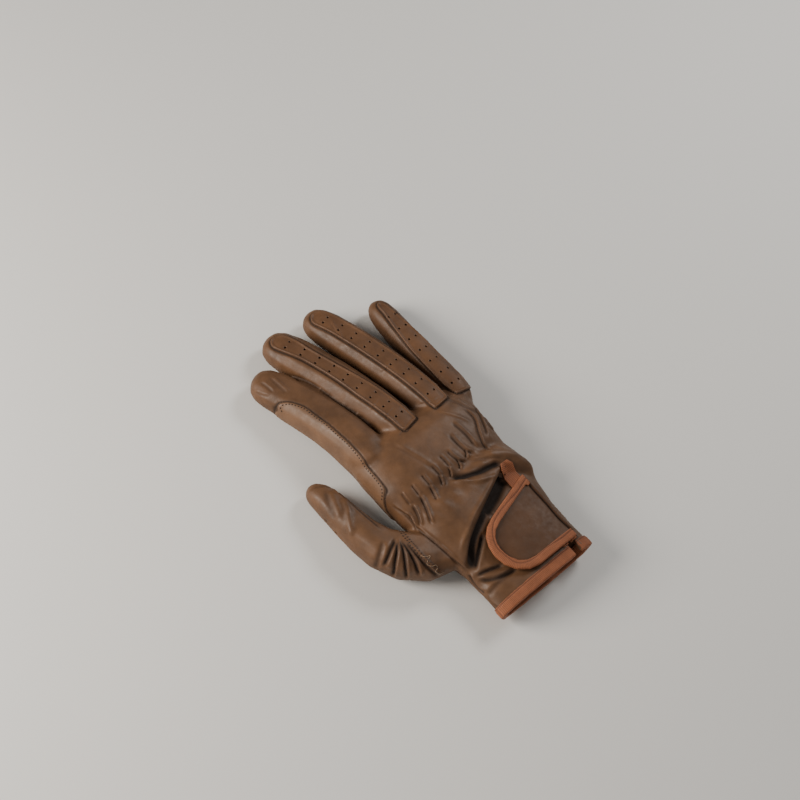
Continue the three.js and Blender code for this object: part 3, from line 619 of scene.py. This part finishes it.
def edge_of_panel(node, pixels):
    """A back panel's edge, seen from above: even on both sides of the bent middle line of its holes, and as
    wide as the seam that is drawn through pixels. Its end is round."""
    holes = np.array(perforations[node])[:, :2]
    middle = holes.mean(0)
    along = np.linalg.svd(holes - middle)[2][0]
    along *= np.sign(along[1])
    across = np.array([along[1], -along[0]])
    bend = np.polyfit((holes - middle) @ along, (holes - middle) @ across, 2)
    seam = on_leather(pixels)["points"][:, :2] - middle
    seam = seam[np.argsort(seam @ along)]
    half = np.clip(np.abs(seam @ across - np.polyval(bend, seam @ along)), *PANEL_HALF_WIDTHS)
    rim = np.array([start for start, _, _ in rims[node]])[:, :2] - middle
    base, tip = (rim @ along).min(), (rim @ along).max() + PAST_TIP
    stations = np.arange(base, tip, EDGE_STEP)
    width = np.interp(stations, seam @ along, half)
    for _ in range(WIDTH_ROUNDS):
        width[1:-1] = (width[:-2] + 2 * width[1:-1] + width[2:]) / 4
    into_round = np.clip(stations - tip + PANEL_ROUND, 0, None) / PANEL_ROUND
    width *= np.sqrt(np.clip(1 - into_round ** 2, 0, 1))
    outline = np.concatenate([
        np.stack([stations, np.polyval(bend, stations) + side * width], axis=1)[::side] for side in (1, -1)
    ])
    outline = np.concatenate([outline, outline[:1]])
    run = np.concatenate([[0], np.cumsum(np.linalg.norm(np.diff(outline, axis=0), axis=1))])
    even = np.arange(0, run[-1], OUTLINE_STEP)
    outline = np.stack([np.interp(even, run, column) for column in outline.T], axis=1)
    for _ in range(CORNER_ROUNDS):
        outline = (np.roll(outline, 1, 0) + 2 * outline + np.roll(outline, -1, 0)) / 4
    found = []
    for first, second in outline:
        spot = middle + first * along + second * across
        found.append(skin_shape.ray_cast((*spot, OVERHEAD), (0, 0, -1))[:2])
    ring = np.array([spot for spot, _ in found])
    ahead = np.roll(ring, -1, 0) - np.roll(ring, 1, 0)
    ahead /= np.linalg.norm(ahead, axis=1)[:, None]

    def holds(point):
        first, second = (point[:2] - middle) @ along, (point[:2] - middle) @ across
        off = abs(second - np.polyval(bend, first))
        return base < first < tip and off < np.interp(first, stations, width)

    out = np.array([facing for _, facing in found])
    return {"points": ring, "ahead": ahead, "out": out, "holds": holds}


def inside_of(edge, rounds):
    """How far inside an edge each vertex of the skin is; far away or on the other side it is far outside."""
    tree = tree_of(edge["points"])
    inward = np.cross(edge["out"], edge["ahead"])
    field = np.full(len(place), -FAR)
    low, high = edge["points"].min(0) - 3 * FAR, edge["points"].max(0) + 3 * FAR
    same_side = normal @ edge["out"].mean(0) > SAME_SIDE
    for k in np.flatnonzero(((place > low) & (place < high)).all(1) & outer & same_side):
        _, at, away = tree.find(place[k])
        off = (place[k] - edge["points"][at]) @ inward[at]
        if "holds" in edge:
            off = (abs(off) if away < NEAR_EDGE else away) * (1 if edge["holds"](place[k]) else -1)
        field[k] = np.clip(off, -FAR, FAR)
    return relaxed(field, rounds)


def smooth(bm, verts, rounds):
    """Evens out vertices of a mesh with their neighbours a number of times."""
    for _ in range(rounds):
        bmesh.ops.smooth_vert(bm, verts=verts, factor=0.5, use_axis_x=True, use_axis_y=True, use_axis_z=True)
    bm.normal_update()


def sheet_of(field):
    """A sheet cut out of the skin inside an edge, with how far inside it each vertex is."""
    bm = bmesh.new()
    bm.from_mesh(skin_mesh)
    depth = bm.verts.layers.float.new("depth")
    bm.verts.ensure_lookup_table()
    near = field > -SHEET_MARGIN
    for k in np.flatnonzero(near):
        bm.verts[k][depth] = field[k]
    bmesh.ops.delete(bm, geom=[bm.verts[k] for k in np.flatnonzero(~(near & outer))], context="VERTS")
    cuts = []
    for edge in list(bm.edges):
        a, b = edge.verts
        if (a[depth] > 0) != (b[depth] > 0):
            _, new = bmesh.utils.edge_split(edge, a, a[depth] / (a[depth] - b[depth]))
            new[depth] = 0
            cuts.append(new)
    bmesh.ops.connect_verts(bm, verts=cuts)
    bmesh.ops.delete(bm, geom=[vert for vert in bm.verts if vert[depth] < 0], context="VERTS")
    bmesh.ops.triangulate(bm, faces=[face for face in bm.faces if len(face.verts) > 4])
    bmesh.ops.subdivide_edges(bm, edges=bm.edges, cuts=1, use_grid_fill=True)
    smooth(bm, [vert for vert in bm.verts if not vert.is_boundary], SHEET_ROUNDS)
    return bm, depth


def hump(distance, middle, width):
    """1 at the middle, and next to nothing twice the width away from it."""
    return math.exp(-(((distance - middle) / width) ** 2))


def lay_sheet(bm, depth, lip, node, finish):
    """Lifts a sheet clear of the skin with a rolled edge and painted shade along its very edge, and puts it
    in the scene.
    """
    for vert in bm.verts:
        up = SHEET_LIFT + lip * hump(vert[depth], LIP_IN, LIP_WIDTH)
        up -= (SHEET_LIFT + EDGE_DROP) * hump(vert[depth], 0, EDGE_DROP_WIDTH)
        vert.co += vert.normal * up

    # Painted shade along the very edge, where the sheet dips into the seam
    def crease(vert):
        return hump(vert[depth], 0, EDGE_SHADE_WIDTH)

    put(bm, node + "_leather", finish, [node], crease, SHEET_THICKNESS)


def put(bm, name, finish, nodes, crease=None, wall=0):
    """Puts a finished piece in the scene; it rides on the glove and stands for its CAD nodes."""
    bm.verts.ensure_lookup_table()
    # crease gives each vertex's darkening: painted shade on the leathers, and the dark stitch line on the
    # tapes
    values = [crease(vert) for vert in bm.verts] if crease else [0.0] * len(bm.verts)
    mesh = bpy.data.meshes.new(name)
    bm.to_mesh(mesh)
    bm.free()
    mesh.attributes.new("crease", "FLOAT", "POINT").data.foreach_set("value", values)
    mesh.materials.append(finish)
    mesh.shade_smooth()
    piece = bpy.data.objects.new(name, mesh)
    bpy.context.scene.collection.objects.link(piece)
    if wall:
        thickness = piece.modifiers.new("thickness", "SOLIDIFY")
        thickness.thickness = wall
        thickness.offset = -1
    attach(piece, "root")
    if nodes:
        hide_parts(*nodes)


def pierce(bm, spot, radius):
    """A hole in a sheet, whose ragged rim is drawn to a circle."""
    spot = Vector(spot)
    near = [vert for vert in bm.verts if (vert.co - spot).length < HOLE_AROUND * radius]
    middle = min(near, key=lambda vert: (vert.co - spot).length)
    centre, axis = middle.co.copy(), middle.normal.copy()
    bmesh.ops.delete(bm, geom=[vert for vert in near if (vert.co - centre).length < radius], context="VERTS")
    for vert in near:
        if vert.is_valid and vert.is_boundary and (vert.co - centre).length < RIM_AROUND * radius:
            arm = vert.co - centre
            arm -= axis * arm.dot(axis)
            vert.co += arm * (radius / arm.length - 1)


PANEL_SEAMS = {
    # the seam on the thumb's side, from the fingertip to the knuckle, as pixels of the photo
    "middle_back_panel": [
        (264, 343), (271, 348), (286, 354), (303, 361), (327, 375), (346, 388), (366, 404), (376, 416),
        (388, 428), (396, 438),
    ],
    "ring_back_panel": [
        (306, 318), (312, 325), (327, 336), (339, 344), (351, 353), (366, 365), (380, 380), (395, 394),
        (409, 405), (417, 411),
    ],
    "little_back_panel": [
        (376, 303), (388, 321), (400, 337), (411, 351), (424, 365), (436, 380), (448, 394),
    ],
}
fields = {}
panel_finish = leather("perforated brown leather", (0.100, 0.047, 0.0215), 1.0, 0.4, 0.35)
for node, pixels in PANEL_SEAMS.items():
    fields[node] = inside_of(edge_of_panel(node, pixels), PANEL_ROUNDS)
    bm, depth = sheet_of(fields[node])
    for spot in perforations[node]:
        pierce(bm, spot, HOLE_RADIUS)
    lay_sheet(bm, depth, PANEL_LIP, node, panel_finish)

# Side patch of the index finger
# A piece of the same leather over the side that the rein rubs, drawn lighter: painted light on a side that
# faces the key light. It is laid on the finger, not let in, and a row of dark thread holds it down along its
# edge.
PATCH_ROUNDS = 30  # of relaxing the field that it is cut out by
PATCH_LIP = 0.12 * MM
PATCH_STITCH_IN = 1.5 * MM
PATCH_STITCH = 1.9 * MM  # from one stitch to the next
PATCH_STITCH_LIFT = 0.17 * MM
STITCHED_ABOVE = 0.3  # no stitch is seen where the normal rises less
ROW_NEAR = 2 * MM  # the stretch of the row that gives a stitch its direction


def edge_of_rim(node):
    """A laid-on piece's edge, from its node."""
    points, ahead, out = [], [], []
    for start, end, facing in rims[node]:
        steps = max(1, int((end - start).length / EDGE_STEP))
        points.extend(start.lerp(end, (k + 0.5) / steps) for k in range(steps))
        ahead.extend([(end - start).normalized()] * steps)
        out.extend([facing] * steps)
    return {"points": np.array(points), "ahead": np.array(ahead), "out": np.array(out)}


# Lighter than the hand's leather as painted light, for the side that faces the key light
patch_painted_light_finish = leather("light brown leather", (0.140, 0.073, 0.038), 1.0, 0.35, 0.3)
fields["index_side_patch"] = inside_of(edge_of_rim("index_side_patch"), PATCH_ROUNDS)
bm, depth = sheet_of(fields["index_side_patch"])
row = []
for edge in bm.edges:
    a, b = edge.verts
    if (a[depth] > PATCH_STITCH_IN) != (b[depth] > PATCH_STITCH_IN):
        spot = a.co.lerp(b.co, (PATCH_STITCH_IN - a[depth]) / (b[depth] - a[depth]))
        row.append((spot, (a.normal + b.normal).normalized()))
row.sort(key=lambda found: found[0].y)
lay_sheet(bm, depth, PATCH_LIP, "index_side_patch", patch_painted_light_finish)

thread_finish = plain_material("brown thread", (0.022, 0.009, 0.004), 0.6)


def stitch(bm, spot, ahead, out, length=1.2 * MM, width=0.8 * MM):
    """One short stitch lying on the leather."""
    side = ahead.cross(out).normalized()
    turn = Matrix((ahead, side, out)).transposed().to_4x4()
    size = Matrix.Diagonal((length / 2, width / 2, width / 2, 1))
    where = Matrix.Translation(spot) @ turn @ size
    bmesh.ops.create_uvsphere(bm, u_segments=6, v_segments=4, radius=1, matrix=where)


bm = bmesh.new()
placed = []
for spot, out in row:
    if out.z > STITCHED_ABOVE and all((spot - other).length > PATCH_STITCH for other in placed):
        near = np.array([other for other, _ in row if (other - spot).length < ROW_NEAR])
        ahead = Vector(np.linalg.svd(near - near.mean(0))[2][0])
        ahead = (ahead - out * ahead.dot(out)).normalized()
        stitch(bm, spot + out * (SHEET_LIFT + PATCH_STITCH_LIFT), ahead, out)
        placed.append(spot)
put(bm, "patch_stitches", thread_finish, [])

# Stitches below the thumb
# A double row of dark thread holds the thumb's gusset down to the hand. An end of paler thread has come
# loose at the lower half of the row, and lies on it in bends.
DOUBLE_ROW = [(398, 528), (405, 536), (415, 549), (426, 560), (439, 571)]
ROW_STITCH = 1.9 * MM  # from one stitch to the next
ROW_APART = 1.8 * MM
ROW_LIFT = 0.1 * MM
LOOSE_THREAD = [
    (421, 556), (425, 557), (430, 556), (428, 560), (427, 564), (431, 566), (436, 565), (437, 568),
    (435, 571), (439, 573), (444, 572),
]
THREAD_STEP = 0.8 * MM  # shorter than its bits are, so that they join
THREAD_LENGTH = 1.2 * MM
THREAD_WIDTH = 0.32 * MM
THREAD_LIFT = 0.2 * MM


def sew(pixels, step, sides, lift, **size):
    """Stitches laid on the pressed skin along a line, one at each distance to its side."""
    bm = bmesh.new()
    line = on_leather(pixels, step=step)
    for point, ahead, out in zip(line["points"], line["ahead"], line["out"]):
        for off in sides:
            spot, facing, at, _ = skin_shape.find_nearest(Vector(point + np.cross(ahead, out) * off))
            up = rise[list(skin_mesh.polygons[at].vertices)].mean() + lift
            stitch(bm, spot + facing * up, Vector(ahead), Vector(out), **size)
    return bm


bm = sew(DOUBLE_ROW, ROW_STITCH, (-ROW_APART / 2, ROW_APART / 2), ROW_LIFT)
put(bm, "thumb_stitches", thread_finish, [])
bm = sew(LOOSE_THREAD, THREAD_STEP, (0,), THREAD_LIFT, length=THREAD_LENGTH, width=THREAD_WIDTH)
put(bm, "loose_thread", plain_material("pale thread", (0.34, 0.23, 0.15), 0.6), [])

# The skin under the backs and the patch lies lower, with painted shade on it, and the seam round each is
# sunk, with painted shade in it
UNDER_DEPTH = 0.65 * MM
UNDER_FROM = 0.2 * MM  # inside the edge, where the skin starts to go down
UNDER_SLOPE = 0.8 * MM
SEAM_DEPTH = 0.5 * MM
SEAM_OUT = 0.3 * MM  # from the edge out to the middle of the seam
SEAM_WIDTH = 0.5 * MM
SEAM_SHADE = 0.9
for field in fields.values():
    under = np.clip((field - UNDER_FROM) / UNDER_SLOPE, 0, 1)
    seam = np.exp(-(((field + SEAM_OUT) / SEAM_WIDTH) ** 2))
    place -= normal * ((UNDER_DEPTH * under + SEAM_DEPTH * seam * (under == 0)) * outer)[:, None]
    # painted shade in the seams and on the skin under the sheets
    dark = np.maximum(dark, np.maximum(SEAM_SHADE * seam, under))
place_skin()
# The crease attribute holds the painted shade of the grooves, pits, seams and the skin under the sheets
creases = skin_mesh.attributes.new("crease", "FLOAT", "POINT")
creases.data.foreach_set("value", (dark * outer).astype(np.float32))
skin_mesh.materials.append(skin_finish)
thick = bpy.data.objects.new("thick skin", skin_mesh)
bpy.context.scene.collection.objects.link(thick)
thick.vertex_groups.new(name="inside").add(np.flatnonzero(~outer).tolist(), 1, "REPLACE")

# The inside hardly shows, so its mesh is thinned first, and then the whole a little
TRIANGLES = 185_000
INSIDE_KEPT = 0.08
total = sum(len(face.vertices) - 2 for face in skin_mesh.polygons)
inside_share = 1 - np.count_nonzero(outer) / len(outer)
after_inside = 1 - inside_share * (1 - INSIDE_KEPT)
for ratio, group in ((after_inside, "inside"), (TRIANGLES / (total * after_inside), "")):
    thin = thick.modifiers.new("thin", "DECIMATE")
    thin.ratio = ratio
    thin.vertex_group = group
evaluated = thick.evaluated_get(bpy.context.evaluated_depsgraph_get())
hand_mesh = bpy.data.meshes.new_from_object(evaluated)
bpy.data.objects.remove(thick)
hand_mesh.name = "hand_leather"
hand_mesh.shade_smooth()
skin = bpy.data.objects.new("hand_leather", hand_mesh)
bpy.context.scene.collection.objects.link(skin)
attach(skin, "root")
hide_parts(*SKIN_NODES[:6])


def softened(node, voxel, rounds):
    """A copy of a CAD node's solid with its edges rounded off."""
    mesh = bpy.data.meshes.new(node)
    bm = merged(node)
    bm.to_mesh(mesh)
    bm.free()
    solid = bpy.data.objects.new(node, mesh)
    bpy.context.scene.collection.objects.link(solid)
    remesh = solid.modifiers.new("round", "REMESH")
    remesh.mode = "VOXEL"
    remesh.voxel_size = voxel
    bm = bmesh.new()
    bm.from_object(solid, bpy.context.evaluated_depsgraph_get())
    bpy.data.objects.remove(solid)
    smooth(bm, bm.verts, rounds)
    return bm


# Closing tab
# A D-shaped flap of stiffer leather with a pebbled grain, darker partly in its own colour and partly as
# painted shade, as it faces away from the key light. It springs from the little finger's side and closes
# over the slit on a loop pad. A sunk line with painted shade in it marks where it folds.
TAB_FOLD = [(517, 471), (526, 481), (534, 490), (547, 504), (559, 518), (573, 531)]
TAB_VOXEL = 0.5 * MM
TAB_ROUNDS = 6
FOLD_REACH = 4 * MM
FOLD_DEPTH = 0.8 * MM
FOLD_WIDTH = 0.8 * MM
FOLD_RIDGE = 0.35 * MM
FOLD_RIDGE_AT = -1.6 * MM  # to the left of the fold
FOLD_RIDGE_WIDTH = 1.1 * MM
TAB_SWELLS = (6 * MM, 0.12 * MM)  # how wide and how high
FACES_ALIKE = 0.2  # the dot product of two normals on the same side is more
bm = softened("closure_tab", TAB_VOXEL, TAB_ROUNDS)
fold = on_leather(TAB_FOLD, shape=BVHTree.FromBMesh(bm))
to_right = np.cross(fold["ahead"], fold["out"])
tree = tree_of(fold["points"])
folded = bm.verts.layers.float.new("folded")
for vert in bm.verts:
    _, at, away = tree.find(vert.co)
    if away < FOLD_REACH and vert.normal.dot(Vector(fold["out"][at])) > FACES_ALIKE:
        off = (vert.co - Vector(fold["points"][at])).dot(Vector(to_right[at]))
        # the fold's hump also gives its painted shade
        vert[folded] = hump(off, 0, FOLD_WIDTH)
        ridge = FOLD_RIDGE * hump(off, FOLD_RIDGE_AT, FOLD_RIDGE_WIDTH)
        vert.co -= vert.normal * (FOLD_DEPTH * vert[folded] - ridge)
    vert.co += vert.normal * TAB_SWELLS[1] * noise.noise(vert.co / TAB_SWELLS[0])
# Darker than the hand's leather, partly the tab's own colour and partly painted shade, as the flap faces
# away from the key light
tab_dark_and_shaded_finish = leather("pebbled dark leather", (0.078, 0.036, 0.017), 1.9, 0.3, 0.25)
tab_dark_and_shaded_finish.node_tree.nodes["Principled BSDF"].inputs["Specular IOR Level"].default_value = 0.18
put(bm, "tab_flap", tab_dark_and_shaded_finish, ["closure_tab"], crease=lambda vert: vert[folded])

# Bindings of the tab, the cuff's hem and the slit
# A rust-coloured ribbed tape is folded over each raw edge. On the tab's tape and the hem's a row of stitches
# runs near its inner side.
# Its ribs run across it, a little under a millimetre apart.
RIB = 0.9 * MM
TAPE_COLOR = (0.275, 0.088, 0.033)
tape_group = bpy.data.node_groups.new("ribbed tape", "ShaderNodeTree")
socket_of(tape_group, "Tape", "NodeSocketColor", value=(*TAPE_COLOR, 1))
socket_of(tape_group, "Color", "NodeSocketColor", True)
socket_of(tape_group, "Height", "NodeSocketFloat", True)
wire(tape_group, [
    ("in", "NodeGroupInput", {}, {}),
    ("out", "NodeGroupOutput", {}, {}),
    ("where", "ShaderNodeTexCoord", {}, {}),
    ("along", "ShaderNodeAttribute", {"attribute_name": "along"}, {}),
    ("stitched", "ShaderNodeAttribute", {"attribute_name": "crease"}, {}),
    ("turns", "ShaderNodeMath", {"operation": "MULTIPLY"}, {1: 2 * math.pi / RIB}),
    ("ribs", "ShaderNodeMath", {"operation": "SINE"}, {}),
    ("weave", "ShaderNodeTexNoise", {}, {"Scale": 1500.0, "Detail": 3.0, "Roughness": 0.7}),
    ("wear", "ShaderNodeTexNoise", {}, {"Scale": 160.0, "Detail": 3.0}),
    ("rib height", "ShaderNodeMath", {"operation": "MULTIPLY_ADD"}, {1: 0.35}),
    ("shade", "ShaderNodeMapRange", {}, {"From Min": 0.2, "From Max": 1.1, "To Min": 0.65, "To Max": 1.3}),
    ("worn", "ShaderNodeMath", {"operation": "MULTIPLY_ADD"}, {1: 0.5, 2: -0.25}),
    ("value", "ShaderNodeMath", {"operation": "ADD"}, {}),
    ("dyed", "ShaderNodeHueSaturation", {}, {}),
    ("sewn", "ShaderNodeMix", {"data_type": "RGBA"}, {7: (0.06, 0.018, 0.008, 1)}),
], [
    ("along", "Fac", "turns", 0), ("turns", 0, "ribs", 0), ("ribs", 0, "rib height", 0),
    ("where", "Object", "weave", "Vector"), ("where", "Object", "wear", "Vector"),
    ("weave", "Fac", "rib height", 2), ("rib height", 0, "out", "Height"),
    ("rib height", 0, "shade", "Value"), ("wear", "Fac", "worn", 0),
    ("shade", 0, "value", 0), ("worn", 0, "value", 1), ("value", 0, "dyed", "Value"),
    ("in", "Tape", "dyed", "Color"), ("dyed", "Color", "sewn", 6),
    ("stitched", "Fac", "sewn", 0), ("sewn", 2, "out", "Color"),
])
tape_finish = plain_material("rust tape", TAPE_COLOR, 0.75)
wire(tape_finish.node_tree, [
    ("surface", "ShaderNodeGroup", {"node_tree": tape_group}, {"Tape": (*TAPE_COLOR, 1)}),
    ("ribs", "ShaderNodeBump", {}, {"Strength": 0.6, "Distance": 0.25 * MM}),
], [
    ("surface", "Color", "Principled BSDF", "Base Color"),
    ("surface", "Height", "ribs", "Height"),
    ("ribs", "Normal", "Principled BSDF", "Normal"),
])

TAPE_ROUNDS = 8
STITCH_IN = 1.2 * MM  # from the middle of the tab's tape towards the leather
HEM_STITCH_IN = 1.3 * MM  # from the upper side of the hem's tape
STITCH_GROOVE = 0.35 * MM
STITCH_GROOVE_WIDTH = 0.45 * MM
STITCH_WIDTH = 0.3 * MM
STITCH_SHADE = 0.8
TAPE_SWELLS = (4 * MM, 0.15 * MM)  # how wide and how high
TAB_TAPE = [
    (524, 478), (516, 490), (506, 501), (498, 511), (492, 522), (491, 534), (495, 547),
    (505, 557), (516, 564), (526, 564), (536, 559), (549, 548), (562, 540), (573, 531),
]
STRAIGHT_TAPES = [
    # node, the axis that it runs along, voxel
    ("hem_binding", 0, 0.55 * MM),
    ("slit_binding", 1, 0.5 * MM),
]


def sew_down(vert, sewn, off):
    """The row of stitches along a tape, a dark line in a groove, at a vertex that is off to its side."""
    vert[sewn] = STITCH_SHADE * hump(off, 0, STITCH_WIDTH)
    vert.co -= vert.normal * STITCH_GROOVE * hump(off, 0, STITCH_GROOVE_WIDTH)


bm = softened("tab_binding", TAB_VOXEL, TAPE_ROUNDS)
middle = on_leather(TAB_TAPE, step=EDGE_STEP, shape=BVHTree.FromBMesh(bm))
to_right = np.cross(middle["ahead"], middle["out"])
tree = tree_of(middle["points"])
along = bm.verts.layers.float.new("along")
sewn = bm.verts.layers.float.new("sewn")
for vert in bm.verts:
    _, at, _ = tree.find(vert.co)
    off = vert.co - Vector(middle["points"][at])
    vert[along] = middle["run"][at] + off.dot(Vector(middle["ahead"][at]))
    if vert.normal.dot(Vector(middle["out"][at])) > FACES_ALIKE:
        sew_down(vert, sewn, off.dot(Vector(to_right[at])) + STITCH_IN)
put(bm, "tab_tape", tape_finish, ["tab_binding"], crease=lambda vert: vert[sewn])

for node, way, voxel in STRAIGHT_TAPES:
    bm = softened(node, voxel, TAPE_ROUNDS)
    row_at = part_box(node)[1][1] - HEM_STITCH_IN
    along = bm.verts.layers.float.new("along")
    sewn = bm.verts.layers.float.new("sewn")
    for vert in bm.verts:
        vert[along] = vert.co[way]
        if node == "hem_binding":
            sew_down(vert, sewn, vert.co.y - row_at)
        vert.co += vert.normal * TAPE_SWELLS[1] * noise.noise(vert.co / TAPE_SWELLS[0])
    name = node.replace("binding", "tape")
    put(bm, name, tape_finish, [node], crease=lambda vert: vert[sewn])

# Loop pad of the closure
# A patch of woven loops under the tab, on the back of the cuff, where the tab's hooks hold. The solid is a
# plain plate already, so it stays, and only gets its fabric.
pad_finish = plain_material("loop fabric", (0.035, 0.020, 0.013), 0.95)
wire(pad_finish.node_tree, [
    ("where", "ShaderNodeTexCoord", {}, {}),
    ("loops", "ShaderNodeTexVoronoi", {}, {"Scale": 1400.0}),
    ("loop shade", "ShaderNodeMix", {"data_type": "RGBA"},
     {6: (0.05, 0.03, 0.02, 1), 7: (0.015, 0.008, 0.005, 1)}),
    ("relief", "ShaderNodeBump", {"invert": True}, {"Strength": 0.8, "Distance": 0.3 * MM}),
], [
    ("where", "Object", "loops", "Vector"), ("loops", "Distance", "loop shade", 0),
    ("loop shade", 2, "Principled BSDF", "Base Color"), ("loops", "Distance", "relief", "Height"),
    ("relief", "Normal", "Principled BSDF", "Normal"),
])
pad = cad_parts["closure_pad"]
for pad_slot in pad.material_slots:
    pad_slot.link = "OBJECT"
    pad_slot.material = pad_finish

FLOOR_DROP = 0.3 * MM  # the leather's lowest swells reach about this far below the solids
floor.location.z = -FLOOR_DROP
